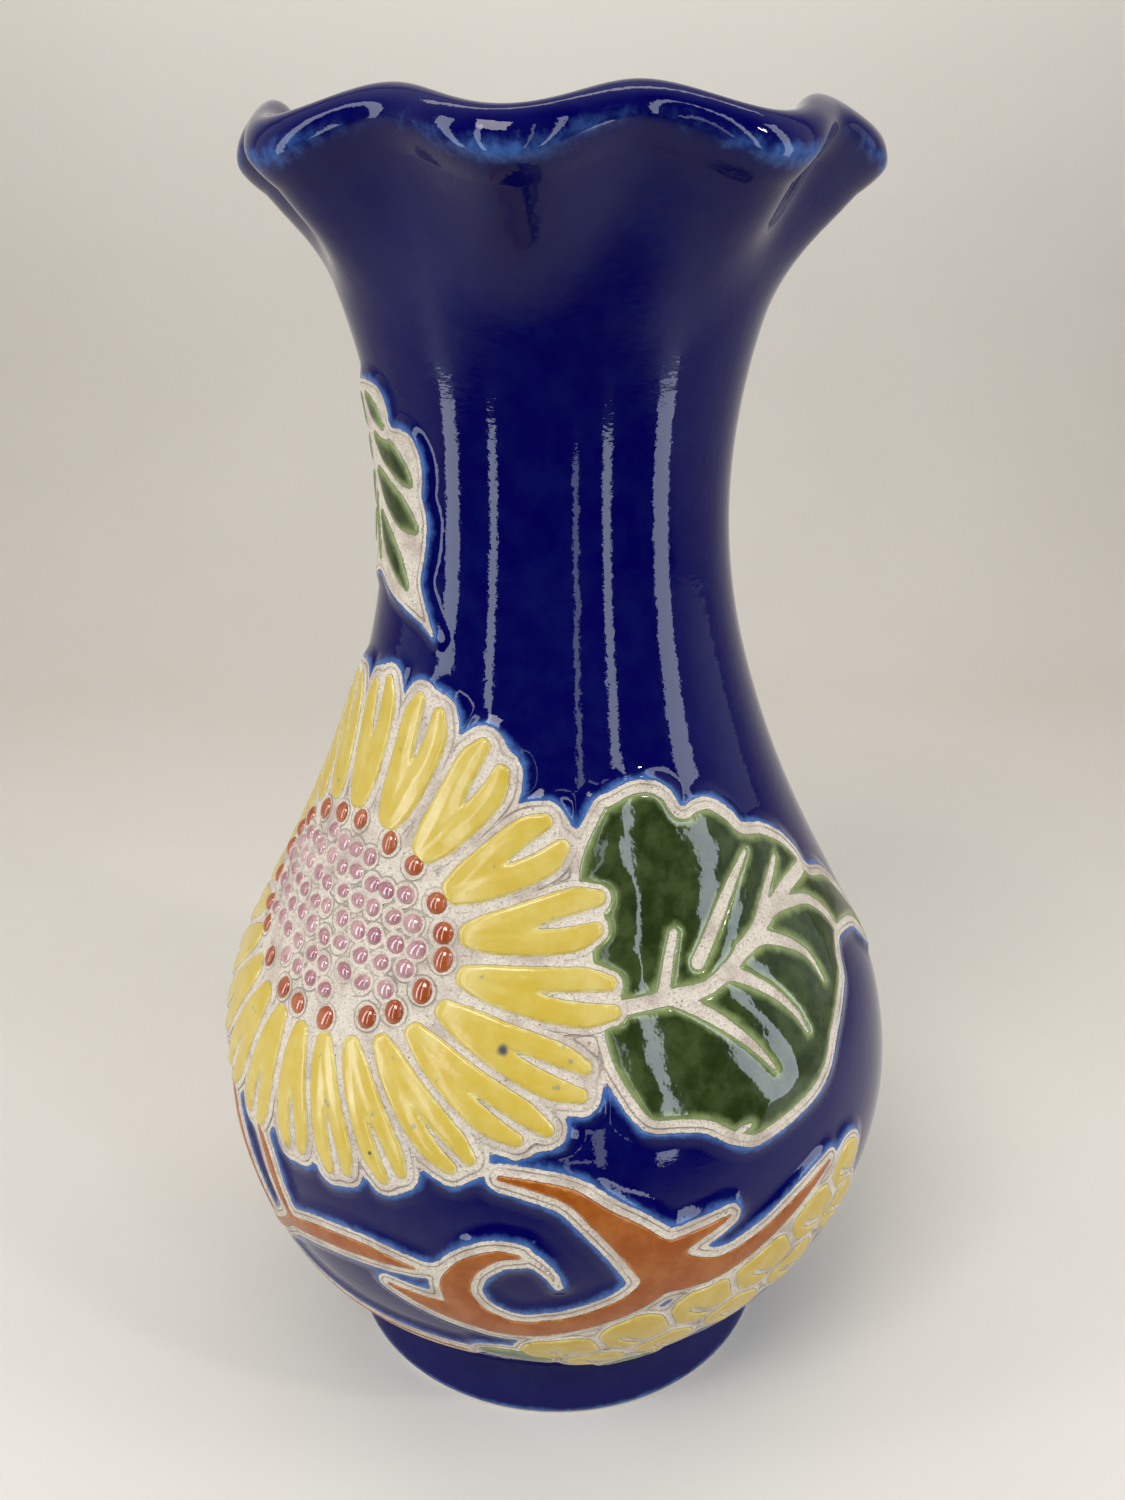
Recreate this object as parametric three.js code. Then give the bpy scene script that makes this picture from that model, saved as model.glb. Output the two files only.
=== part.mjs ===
// A wheel-thrown pottery vase with a scalloped mouth and a carved, coloured relief of a
// sunflower, leaves, a curling vine and a garland of fruit.
// Millimetres, +Z up, origin at the centre of the foot's underside. Azimuth 0 faces -Y and
// grows towards +X. A place on the wall is written [azimuth in degrees, height in mm].

import * as THREE from 'three';

// ---- driving dimensions ----------------------------------------------------------------
const HEIGHT = 250;             // to the top of the scallops
const FOOT_RADIUS = 47.5;
const FOOT_HEIGHT = 13;
const BELLY_TOP = 137;          // luted joint between belly and neck
const NECK_TOP = 214;           // luted joint between neck and rim
const WALL = 5.4;
const FLOOR_TOP = 19;
const JOINT_GAP = 0.3;
const TONGUE_HEIGHT = 4;
const TURN_STEPS = 48;          // facets round every thrown section

const SCALLOPS = 8;
const SCALLOP_AZIMUTH = 15;     // one crest of the wavy lip
const SCALLOP_REACH = 2.5;      // the lip leans in and out by this much
const SCALLOP_RISE = 1.8;       // and rises and falls by this much
const SCALLOP_START = 220;      // height where the wave begins

const RELIEF_GAP = 0.35;
const RELIEF_EDGE = 1.1;        // lift of a relief piece at its edge
const RELIEF_CROWN = 1.9;       // lift along its middle

const FLOWER = { azimuth: -51, height: 113 };
const SEED_HEAD = { width: 30, rise: 15.8 };     // half sizes: degrees, mm
const PETAL_ROOT = { width: 34, rise: 18.6 };
const PETAL_TIP = { width: 62.5, rise: 42 };
const PETALS = 23;

// ---- the thrown wall -------------------------------------------------------------------
// Outer outline, [radius, height], from the foot to the underside of the lip.
const wallCurve = new THREE.SplineCurve([
  [45.5, 13], [53.4, 19.8], [61.4, 31.3], [67.9, 45.3], [71.5, 65], [68, 85], [60.7, 100], [52.7, 115],
  [45.6, 130], [39.9, 145], [35.6, 160], [33.2, 175], [32.9, 190], [34.7, 205], [38.3, 219],
  [43.5, 230], [49.5, 238],
].map(([radius, height]) => new THREE.Vector2(radius, height)));
const wallSamples = wallCurve.getPoints(320);

// Point of the wall's outline at a height, moved out along the wall's normal by lift.
function outline(height, lift = 0) {
  let i = 1;
  while (i < wallSamples.length - 1 && wallSamples[i].y < height) i += 1;
  const below = wallSamples[i - 1];
  const above = wallSamples[i];
  const share = (height - below.y) / (above.y - below.y);
  const along = above.clone().sub(below).normalize();
  const radius = below.x + share * (above.x - below.x);
  return new THREE.Vector2(radius + along.y * lift, height - along.x * lift);
}

function heights(from, to, steps) {
  return Array.from({ length: steps + 1 }, (_, i) => from + (i / steps) * (to - from));
}

const outside = (from, to, steps) => heights(from, to, steps).map((h) => outline(h));
const inside = (from, to, steps) => heights(from, to, steps).map((h) => outline(h, -WALL));
const corner = (radius, height) => new THREE.Vector2(radius, height);

// Turned solid; the profile runs up the outside and down the inside.
function thrown(profile) {
  const geometry = new THREE.LatheGeometry(profile, TURN_STEPS);
  geometry.rotateX(Math.PI / 2);
  return geometry;
}

// ---- materials -------------------------------------------------------------------------
const glaze = (color, roughness) => new THREE.MeshStandardMaterial({ color, roughness, metalness: 0 });
const cobalt = () => glaze(0x120a66, 0.12);
const yellow = () => glaze(0xd7c35a, 0.4);
const green = () => glaze(0x2f4a1c, 0.15);
const orange = () => glaze(0xaa5523, 0.35);
const ochre = () => glaze(0xbea546, 0.4);
const clay = () => glaze(0xcbbfb2, 0.85);

const vase = new THREE.Group();

function add(name, geometry, material) {
  const mesh = new THREE.Mesh(geometry, material);
  mesh.name = name;
  vase.add(mesh);
}

// ---- thrown sections -------------------------------------------------------------------
function footRing() {
  const top = FOOT_HEIGHT - JOINT_GAP;
  return thrown([
    corner(39.5, 0), corner(46.5, 0), corner(FOOT_RADIUS, 1), corner(46.9, 4), corner(45.3, 9),
    corner(45, top), corner(38, top), corner(38, 3), corner(39.5, 0),
  ]);
}

// The floor drops into the foot ring as a shallow boss.
function belly() {
  const bossRadius = 38 - JOINT_GAP;
  const bossBottom = 9;
  const tongueRadius = outline(BELLY_TOP).x - WALL / 2;
  return thrown([
    corner(0, bossBottom), corner(bossRadius, bossBottom), corner(bossRadius, FOOT_HEIGHT),
    ...outside(FOOT_HEIGHT, BELLY_TOP, 13),
    corner(tongueRadius, BELLY_TOP), corner(tongueRadius, BELLY_TOP + TONGUE_HEIGHT),
    ...inside(BELLY_TOP + TONGUE_HEIGHT - 3, 26, 9),
    corner(42, FLOOR_TOP + 1), corner(30, FLOOR_TOP), corner(0, FLOOR_TOP),
  ]);
}

function neck() {
  const rabbet = outline(BELLY_TOP).x - WALL / 2 + JOINT_GAP;
  const tongueRadius = outline(NECK_TOP).x - WALL / 2;
  const profile = [
    corner(rabbet, BELLY_TOP + JOINT_GAP),
    ...outside(BELLY_TOP + JOINT_GAP, NECK_TOP, 8),
    corner(tongueRadius, NECK_TOP), corner(tongueRadius, NECK_TOP + TONGUE_HEIGHT),
    corner(outline(NECK_TOP).x - WALL, NECK_TOP + TONGUE_HEIGHT),
    ...inside(NECK_TOP - 6, BELLY_TOP + TONGUE_HEIGHT + 5, 5),
    corner(rabbet - WALL / 2 - 1.5, BELLY_TOP + TONGUE_HEIGHT + JOINT_GAP),
    corner(rabbet, BELLY_TOP + TONGUE_HEIGHT + JOINT_GAP),
  ];
  return thrown([...profile, profile[0]]);
}

// The lip is a thick roll; its wave is drawn out and down between eight upright crests.
function rim() {
  const rabbet = outline(NECK_TOP).x - WALL / 2 + JOINT_GAP;
  const seat = NECK_TOP + TONGUE_HEIGHT + JOINT_GAP;
  const lipTop = HEIGHT - SCALLOP_RISE;
  const profile = [
    corner(rabbet, NECK_TOP + JOINT_GAP),
    ...outside(NECK_TOP + JOINT_GAP, 238, 5),
    corner(52, lipTop - 6.4), corner(52.9, lipTop - 3.6), corner(52.2, lipTop - 1.2),
    corner(50.4, lipTop), corner(48.4, lipTop - 0.8), corner(46, lipTop - 4),
    corner(41.2, 236), corner(36.8, 227), corner(33, seat + 2),
    corner(outline(NECK_TOP).x - WALL, seat), corner(rabbet, seat),
  ];
  const geometry = thrown([...profile, profile[0]]);
  const position = geometry.attributes.position;
  const point = new THREE.Vector3();
  for (let i = 0; i < position.count; i += 1) {
    point.fromBufferAttribute(position, i);
    const share = THREE.MathUtils.smoothstep(point.z, SCALLOP_START, 245);
    const azimuth = Math.atan2(point.x, -point.y) - THREE.MathUtils.degToRad(SCALLOP_AZIMUTH);
    const wave = Math.cos(SCALLOPS * azimuth) * share;
    const radius = Math.hypot(point.x, point.y);
    const stretch = (radius - SCALLOP_REACH * wave) / radius;
    position.setXYZ(i, point.x * stretch, point.y * stretch, point.z + SCALLOP_RISE * wave);
  }
  return geometry;
}

add('foot_ring', footRing(), cobalt());
add('belly', belly(), cobalt());
add('neck', neck(), cobalt());
add('rim', rim(), cobalt());

// ---- relief ----------------------------------------------------------------------------
function onWall(azimuth, height, lift) {
  const place = outline(height, lift);
  const turn = THREE.MathUtils.degToRad(azimuth);
  return new THREE.Vector3(place.x * Math.sin(turn), -place.x * Math.cos(turn), place.y);
}

// A low cushion lying on the wall. place(along, across) gives its points as along and across
// go from 0 to 1, with across to the left of the way along, seen from outside the vase.
function cushion(place, alongSteps, acrossSteps = 2) {
  const geometry = new THREE.BoxGeometry(1, 1, 1, alongSteps, acrossSteps, 1);
  const position = geometry.attributes.position;
  for (let i = 0; i < position.count; i += 1) {
    const along = position.getX(i) + 0.5;
    const across = position.getY(i) + 0.5;
    const onEdge = across < 0.01 || across > 0.99 || along < 0.01 || along > 0.99;
    const crown = onEdge ? RELIEF_EDGE : RELIEF_CROWN;
    const lift = position.getZ(i) > 0 ? crown : RELIEF_GAP;
    const [azimuth, height] = place(along, across);
    const point = onWall(azimuth, height, lift);
    position.setXYZ(i, point.x, point.y, point.z);
  }
  return geometry;
}

const mirrored = (points) => points.map(([azimuth, height]) => [2 * FLOWER.azimuth - azimuth, height]);

// Cushion between its right-hand and left-hand edges, each a smooth line of wall places.
function between(rightPoints, leftPoints, alongSteps, acrossSteps = 2) {
  const line = (points) => new THREE.SplineCurve(points.map(([a, h]) => new THREE.Vector2(a, h)));
  const right = line(rightPoints);
  const left = line(leftPoints);
  return cushion((along, across) => {
    const point = right.getPointAt(along).lerp(left.getPointAt(along), across);
    return [point.x, point.y];
  }, alongSteps, acrossSteps);
}

// Both sides of a motif: the piece as drawn, and its reflection in the flower's own axis.
function addPair(name, rightPoints, leftPoints, alongSteps, material, acrossSteps = 2) {
  add(`${name}_right`, between(rightPoints, leftPoints, alongSteps, acrossSteps), material());
  add(`${name}_left`, between(mirrored(leftPoints), mirrored(rightPoints), alongSteps, acrossSteps),
    material());
}

// Place on an oval round the flower's centre; turn runs clockwise from the top.
function onOval(oval, turn) {
  return new THREE.Vector2(
    FLOWER.azimuth + oval.width * Math.sin(turn),
    FLOWER.height + oval.rise * Math.cos(turn),
  );
}

function seedHead() {
  const ends = 0.12;            // the outline is cut flat at top and bottom
  return cushion((along, across) => {
    const turn = Math.PI * (1 - THREE.MathUtils.lerp(ends, 1 - ends, along));
    const edge = onOval(SEED_HEAD, turn);
    const azimuth = THREE.MathUtils.lerp(edge.x, 2 * FLOWER.azimuth - edge.x, across);
    return [azimuth, edge.y];
  }, 10, 8);
}

// Petals crowd together where the belly is wide, below, and open out towards the neck.
function petalTurn(index) {
  const even = (2 * Math.PI * index) / PETALS - 0.06;
  return even + 0.32 * Math.sin(even);
}

function petal(index) {
  const turn = petalTurn(index);
  const before = (petalTurn(index - 1) - turn) / 2;
  const after = (petalTurn(index + 1) - turn) / 2;
  return cushion((along, across) => {
    const fullness = 0.84 - 0.44 * along ** 6;
    const lean = fullness * THREE.MathUtils.lerp(after, before, across);
    const root = onOval(PETAL_ROOT, turn + lean);
    const point = root.lerp(onOval(PETAL_TIP, turn + lean), along);
    return [point.x, point.y];
  }, 6);
}

add('seed_head', seedHead(), clay());
for (let index = 0; index < PETALS; index += 1) {
  add(`petal_${String(index + 1).padStart(2, '0')}`, petal(index), yellow());
}

// Broad leaf beside the flower, in two halves along its midrib.
const midribAbove = [[17, 110], [30, 108], [45, 112], [60, 112.5], [84, 100]];
const midribBelow = [[16.5, 104], [30, 104], [45, 108], [60, 109], [83, 97]];
const leafTop = [[6, 137], [20, 140.5], [36, 136], [52, 128], [68, 117], [85.5, 101.5]];
const leafBottom = [[13, 90], [22, 85], [36, 81], [52, 86], [63, 96], [82, 95.5]];
addPair('leaf_upper', midribAbove, leafTop, 12, green, 4);
addPair('leaf_lower', leafBottom, midribBelow, 12, green, 4);

// Curling vine below the flower.
addPair('vine_trunk',
  [[-9, 79.5], [1, 76], [8, 64], [12, 55.5], [22, 54], [34, 59], [42, 65], [47, 68.8]],
  [[-8.5, 81.5], [3, 79.5], [11, 72], [18, 66.5], [20, 61], [31, 63.5], [40, 68.5], [46, 71]],
  12, orange);

function vineScroll() {
  return between(
    [[-21, 47.5], [-13, 43.5], [-2, 43.5], [6, 47.5], [10.4, 53]],
    [[-13, 53], [-7, 49.5], [-1, 50], [4, 53], [7, 58]],
    8,
  );
}

function vineHook() {
  return between(
    [[-13.4, 54], [-11.5, 60], [-7.5, 63.8], [-3.8, 63.4], [-1.4, 58]],
    [[-24, 49.5], [-18.5, 61], [-11.5, 67], [-3.5, 65.6], [-0.2, 58.4]],
    8,
  );
}

function vineArm() {
  return between(
    [[-44, 53], [-37, 56], [-29.5, 57], [-25, 57.5]],
    [[-43, 56], [-36, 60.5], [-28, 62.5], [-22, 62.5]],
    6,
  );
}

function vineStem() {
  return between([[-45.8, 57], [-47, 62.5], [-49, 68]], [[-48, 57], [-50, 62.5], [-51.5, 68]], 4);
}

add('vine_scroll', vineScroll(), orange());
add('vine_hook', vineHook(), orange());
add('vine_arm', vineArm(), orange());
add('vine_stem', vineStem(), orange());

// Garland of fruit along the underside of the belly.
const FRUIT_ROW = [[-6, 35.5], [6, 38.5], [17, 43.5], [28, 47], [39, 52], [50, 59.5]];
const FRUIT_HALF_WIDTH = 4.9;
const FRUIT_HALF_HEIGHT = 5.2;

function fruit([azimuth, height], side) {
  const center = side === 'right' ? azimuth : 2 * FLOWER.azimuth - azimuth;
  return cushion((along, across) => {
    const x = 2 * along - 1;
    const y = 2 * across - 1;
    const bulge = Math.sqrt(1 - 0.42 * x * x);
    const pinch = Math.sqrt(1 - 0.42 * y * y);
    return [center + FRUIT_HALF_WIDTH * x * pinch, height + FRUIT_HALF_HEIGHT * y * bulge];
  }, 4, 4);
}

for (const side of ['right', 'left']) {
  FRUIT_ROW.forEach((place, index) => add(`fruit_${side}_${index + 1}`, fruit(place, side), ochre()));
}

// Small leaf on the neck, above and to the left of the flower, in two halves.
function neckLeaf(side) {
  const reach = side === 'right' ? 1 : -1;
  const tip = [-72 + 2 * reach, 204];
  const spine = [tip, [-72 + reach, 193], [-70 + reach, 181], [-62 + reach, 171]];
  const edge = side === 'right'
    ? [[-62, 204.5], [-46, 196], [-43, 184], [-45, 169]]
    : [[-82, 203], [-96, 194], [-95, 183], [-70, 167.5]];
  return side === 'right' ? between(spine, edge, 8, 4) : between(edge, spine, 8, 4);
}

add('neck_leaf_right', neckLeaf('right'), green());
add('neck_leaf_left', neckLeaf('left'), green());

export default vase;
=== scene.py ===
# %% [markdown]
# # A carved sunflower vase
# This lesson dresses a fixed frame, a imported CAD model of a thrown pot, with the surfaces that a
# potter would give it: one skin of deep cobalt glaze, and a low carved relief of a sunflower,
# leaves, a vine and fruit, each filled with its own coloured glaze between lines of bare clay.
# Everything is in metres in the frame's own axes: +Z is up and -Y is the side that faces us.
# A place on the wall is written as (azimuth in degrees, height in millimetres): azimuth 0 is
# at -Y and grows towards +X, so a pattern is drawn flat and then wrapped round the pot.

# %% Load the frame
import math
import random

import bmesh
import bpy
import numpy as np
from mathutils import Matrix, Vector


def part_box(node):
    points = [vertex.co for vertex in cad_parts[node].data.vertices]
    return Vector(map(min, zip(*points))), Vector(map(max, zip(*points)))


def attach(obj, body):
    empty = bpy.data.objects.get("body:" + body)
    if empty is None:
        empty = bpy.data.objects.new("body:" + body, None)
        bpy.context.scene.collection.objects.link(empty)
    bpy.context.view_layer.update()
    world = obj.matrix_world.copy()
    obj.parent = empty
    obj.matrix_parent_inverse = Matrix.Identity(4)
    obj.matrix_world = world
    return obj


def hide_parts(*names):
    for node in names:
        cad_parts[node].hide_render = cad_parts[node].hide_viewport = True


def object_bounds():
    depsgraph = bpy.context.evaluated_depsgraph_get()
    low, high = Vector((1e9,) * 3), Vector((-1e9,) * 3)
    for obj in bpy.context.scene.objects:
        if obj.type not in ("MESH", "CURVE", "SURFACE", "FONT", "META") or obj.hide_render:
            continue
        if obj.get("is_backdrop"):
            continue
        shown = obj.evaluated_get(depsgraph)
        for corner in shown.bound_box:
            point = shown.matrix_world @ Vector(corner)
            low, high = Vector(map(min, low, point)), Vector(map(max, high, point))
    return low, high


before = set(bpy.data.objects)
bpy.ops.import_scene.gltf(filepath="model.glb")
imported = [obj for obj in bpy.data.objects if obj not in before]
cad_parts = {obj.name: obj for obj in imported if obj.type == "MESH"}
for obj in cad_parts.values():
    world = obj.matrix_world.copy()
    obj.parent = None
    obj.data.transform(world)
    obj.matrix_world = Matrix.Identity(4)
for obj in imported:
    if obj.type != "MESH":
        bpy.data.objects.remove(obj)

cad_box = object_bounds()
MM = 0.001
HEIGHT = cad_box[1][2] / MM
FOOT_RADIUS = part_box("foot_ring")[1].x / MM
print("frame:", len(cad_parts), "nodes, vase", round(HEIGHT), "mm tall")
print("foot ring:", round(FOOT_RADIUS, 1), "mm in radius")

# %% [markdown]
# ## The camera
# The pot is seen from close by and a little above, level with its mouth, so the belly looks
# large and the foot small. The distance matters more than the lens: it sets how the mouth and
# the foot are foreshortened. The camera stands on the -Y side at arm's length.

# %% Camera
VIEW_DISTANCE = 0.2458
VIEW_HEIGHT = 0.2309
VIEW_DOWN = math.radians(22.07)
VIEW_TURN = math.radians(-0.29)
VIEW_ANGLE = math.radians(60.35)

camera_data = bpy.data.cameras.new("camera")
camera_data.sensor_fit = "VERTICAL"
camera_data.angle = VIEW_ANGLE
camera_data.clip_start = 0.01
camera = bpy.data.objects.new("camera", camera_data)
camera.location = (0, -VIEW_DISTANCE, VIEW_HEIGHT)
camera.rotation_euler = (math.pi / 2 - VIEW_DOWN, 0, VIEW_TURN)
bpy.context.scene.collection.objects.link(camera)
bpy.context.scene.camera = camera
print("camera at", tuple(camera.location))

# %% [markdown]
# ## The thrown outline
# A thrown pot is its outline turned round an axis. The outline needs only a few points, and a
# Catmull-Rom curve joins them. That curve changes its bend abruptly at each point, which a
# mirror-bright glaze would show, so the radius is blurred along the height, as a potter's rib
# evens out a wall.

# %% Smooth lines through a few points
def smooth_line(points, spacing, closed=False):
    """Points about spacing apart on a Catmull-Rom curve through the given ones."""
    given = np.array(points, float)
    count = len(given)
    spans = count if closed else count - 1
    share = np.linspace(0, 1, 17)[:-1, None]
    dense = []
    for i in range(spans):
        order = [i - 1, i, i + 1, i + 2]
        order = [k % count if closed else min(max(k, 0), count - 1) for k in order]
        a, b, c, d = given[order]
        dense.append(0.5 * (2 * b + (c - a) * share + (2 * a - 5 * b + 4 * c - d) * share ** 2
                            + (3 * b - a - 3 * c + d) * share ** 3))
    dense.append(given[:1] if closed else given[-1:])
    dense = np.concatenate(dense)
    steps = np.linalg.norm(np.diff(dense[:, :2], axis=0), axis=1)
    run = np.concatenate([[0], np.cumsum(steps)])
    marks = np.linspace(0, run[-1], max(2, int(run[-1] / spacing) + 1))
    return np.stack([np.interp(marks, run, column) for column in dense.T], axis=1)


# %% The wall's outline
WALL_POINTS = [  # radius, height in mm, from the foot to the underside of the lip
    (45.5, 13), (53.4, 19.8), (61.4, 31.3), (67.9, 45.3), (71.3, 65), (68, 85), (60.7, 100), (52.7, 115),
    (45.6, 130), (39.9, 145), (35.6, 160), (33.2, 175), (32.9, 190), (34.7, 205), (38.3, 219),
    (43.5, 230), (49.5, 238),
]
RIB = 3.0                  # how far the blur reaches, mm
wall_line = smooth_line(WALL_POINTS, 0.25)
wall_heights = np.arange(13, 238, 0.25)
rough_radii = np.interp(wall_heights, wall_line[:, 1], wall_line[:, 0])
rib_offsets = np.arange(-3 * RIB, 3 * RIB + 0.01, 0.25)
rib_weights = np.exp(-0.5 * (rib_offsets / RIB) ** 2)
pad = len(rib_offsets) // 2
padded = np.pad(rough_radii, pad, mode="reflect", reflect_type="odd")
wall_radii = np.convolve(padded, rib_weights / rib_weights.sum(), mode="valid")
wall_slopes = np.gradient(wall_radii, wall_heights)
widest, neck = 2 * wall_radii.max(), 2 * wall_radii[500:].min()
print("wall: widest", round(widest, 1), "mm, neck", round(neck, 1), "mm")


# %% Places on the wall
def on_wall(azimuth, height, lift):
    """Points in metres for azimuths in degrees, and heights and lifts off the wall in mm."""
    radius = np.interp(height, wall_heights, wall_radii)
    slope = np.interp(height, wall_heights, wall_slopes)
    outward = 1 / np.sqrt(1 + slope ** 2)
    turn = np.radians(azimuth)
    reach = radius + lift * outward
    rise = height - lift * slope * outward
    return np.stack([reach * np.sin(turn), -reach * np.cos(turn), rise], axis=1) * MM


def hand_thrown(points):
    """A pot is never quite round: the same slight swelling moves every piece together."""
    turn = np.arctan2(points[:, 0], -points[:, 1])
    swell = 0.0022 * np.sin(2 * turn + 0.8) * np.sin(points[:, 2] * 21 + 0.4)
    swell += 0.0012 * np.sin(3 * turn - 1.1) * np.sin(points[:, 2] * 43)
    moved = points.copy()
    moved[:, :2] *= 1 + swell[:, None]
    return moved


# %% [markdown]
# ## One turned skin
# Foot ring, belly, neck and rim are thrown apart and luted together, but the glaze runs over
# every seam, so what is seen is one skin. It starts as a chain of edges, foot to lip to floor,
# and a full spin turns it. The mouth is pinched into eight scallops: the wave leans each trough
# outwards and down, and it fades out where the neck begins.

# %% The skin's profile
LIP_POINTS = [
    (49.4, 238.2), (52.3, 240.9), (53.7, 243.0), (53.4, 245.4), (51.9, 247.4), (49.9, 248.2),
    (47.9, 247.4), (46.3, 244.9), (44.2, 241),
]
INSIDE_POINTS = [
    (44.2, 241), (40.7, 235), (36.9, 227), (33.2, 217), (30.2, 207), (27.9, 196), (27.3, 184),
    (28.4, 170), (31.6, 157), (36.2, 143), (42.3, 128), (50, 112), (57.5, 98), (63, 84),
    (66, 68), (64.6, 52), (59.5, 38), (52, 28), (42, 21.5), (28, 19), (0, 19),
]
UNDERSIDE_POINTS = [(0, 8.6), (20, 8.8), (35, 8.6), (37.6, 7), (38.3, 4), (39, 1.4), (40, 0.3)]
FOOT_POINTS = [
    (40, 0.3), (41.2, 0), (45.9, 0), (47, 0.4), (47.4, 1.3), (47, 3.6), (46, 6.6), (45.3, 9.6),
    (45.2, 12),
]
outer_line = np.stack([wall_radii, wall_heights], axis=1)
profile = np.concatenate([
    smooth_line(UNDERSIDE_POINTS, 2.5)[:-1],
    smooth_line(FOOT_POINTS, 0.7),
    smooth_line(outer_line[6::16], 1.7),
    smooth_line(LIP_POINTS, 0.75)[:-1],
    smooth_line(INSIDE_POINTS, 3.2),
])
print("profile:", len(profile), "points")

# %% Spin the skin
TURN_STEPS = 288
SCALLOPS = 8
SCALLOP_AZIMUTH = 15.0      # one upright crest
SCALLOP_REACH = 2.6
SCALLOP_RISE = 1.8


def ease(value, low, high):
    share = np.clip((value - low) / (high - low), 0, 1)
    return share * share * (3 - 2 * share)


def finish_mesh(name, bm, *finishes):
    """Turns a bmesh into a smooth-shaded object."""
    mesh = bpy.data.meshes.new(name)
    bm.to_mesh(mesh)
    bm.free()
    mesh.shade_smooth()
    for finish in finishes:
        mesh.materials.append(finish)
    piece = bpy.data.objects.new(name, mesh)
    bpy.context.scene.collection.objects.link(piece)
    return piece


def vertex_array(mesh):
    flat = np.zeros(len(mesh.vertices) * 3, np.float64)
    mesh.vertices.foreach_get("co", flat)
    return flat.reshape(-1, 3)


bm = bmesh.new()
chain = [bm.verts.new((radius * MM, 0, height * MM)) for radius, height in profile]
edges = [bm.edges.new(pair) for pair in zip(chain, chain[1:])]
bmesh.ops.spin(bm, geom=chain + edges, cent=(0, 0, 0), axis=(0, 0, 1), dvec=(0, 0, 0),
               angle=2 * math.pi, steps=TURN_STEPS, use_merge=True, use_duplicate=False)
bmesh.ops.remove_doubles(bm, verts=bm.verts, dist=1e-6)
bmesh.ops.recalc_face_normals(bm, faces=bm.faces)
skin = finish_mesh("glazed_skin", bm)

points = vertex_array(skin.data)
azimuths = np.arctan2(points[:, 0], -points[:, 1])
heights_mm = points[:, 2] / MM
radii_mm = np.hypot(points[:, 0], points[:, 1]) / MM
share = ease(heights_mm, 216, 245)
wave = np.cos(SCALLOPS * (azimuths - math.radians(SCALLOP_AZIMUTH))) * share
stretch = 1 - SCALLOP_REACH * wave / np.maximum(radii_mm, 1)
points[:, :2] *= stretch[:, None]
points[:, 2] += (SCALLOP_RISE + 0.9 * (1 - ease(heights_mm, 243, 248))) * wave * MM
skin.data.vertices.foreach_set("co", hand_thrown(points).ravel())
print("glazed_skin:", len(skin.data.polygons), "faces, top at", round(points[:, 2].max() / MM, 1), "mm")

# %% [markdown]
# ## Drawing with distances
# Each motif is drawn once, flat, with a loaded brush: a stroke is a line with a width at each
# point. For any place on the wall we can then ask how far it is from the stroke's edge, with
# less than zero meaning inside. That one number does everything: it lifts the clay, rounds the
# glaze into a pillow, and later tells the shader where colour ends and bare clay begins, far
# more finely than the mesh itself could.

# %% Distance to a stroke or an outline
FAR = 40.0
REACH = np.array([12.0, 9.0])      # degrees and mm past a shape in which it is measured


def line_gap(spots, line, widths):
    """Distance in mm from each spot to a chain of segments, less the chain's half width."""
    start, along = line[:-1], np.diff(line, axis=0)
    length = np.maximum((along ** 2).sum(1), 1e-9)
    best = np.full(len(spots), FAR)
    for first in range(0, len(spots), 4000):
        part = spots[first:first + 4000]
        share = ((part[:, None] - start) * along).sum(2) / length
        share = np.clip(share, 0, 1)
        feet = start + along * share[..., None]
        width = widths[:-1] + np.diff(widths) * share
        gap = np.linalg.norm(part[:, None] - feet, axis=2) - width
        best[first:first + 4000] = gap.min(1)
    return best


def only_near(places, line, measure):
    low, high = line[:, :2].min(0) - REACH, line[:, :2].max(0) + REACH
    near = np.all((places > low) & (places < high), axis=1)
    gap = np.full(len(places), FAR)
    if near.any():
        gap[near] = measure(places[near])
    return gap


def spots_of(places):
    return on_wall(places[:, 0], places[:, 1], 0) / MM


def brush(points):
    """A stroke through (azimuth, height, half width in mm)."""
    line = smooth_line(points, 0.8)
    centre = spots_of(line)
    return lambda places: only_near(places, line, lambda p: line_gap(spots_of(p), centre, line[:, 2]))


def outlined(points):
    """A closed shape through (azimuth, height)."""
    line = smooth_line(points, 1.0, closed=True)
    centre = spots_of(line)
    still = np.zeros(len(line))

    def measure(places):
        gap = line_gap(spots_of(places), centre, still)
        x, y = places[:, :1], places[:, 1:]
        ax, ay, bx, by = line[:-1, 0], line[:-1, 1], line[1:, 0], line[1:, 1]
        crosses = (ay > y) != (by > y)
        rise = np.where(by == ay, 1, by - ay)
        left = x < ax + (y - ay) / rise * (bx - ax)
        inside = (crosses & left).sum(1) % 2 == 1
        return np.where(inside, -gap, gap)

    return lambda places: only_near(places, line, measure)


def pressed(shapes, line):
    """Shapes that press against each other, with a line of clay between them."""
    def measure(places):
        gaps = np.sort(np.stack([shape(places) for shape in shapes]), axis=0)
        return np.maximum(gaps[0], line / 2 - (gaps[1] - gaps[0]) / 2)
    return measure


def joined(shapes, fillet=0.0):
    """Union of shapes; a fillet in mm rounds the corners where they meet."""
    def measure(places):
        total = shapes[0](places)
        for shape in shapes[1:]:
            other = shape(places)
            if fillet:
                total = -fillet * np.logaddexp(-total / fillet, -other / fillet)
            else:
                total = np.minimum(total, other)
        return total
    return measure


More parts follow.
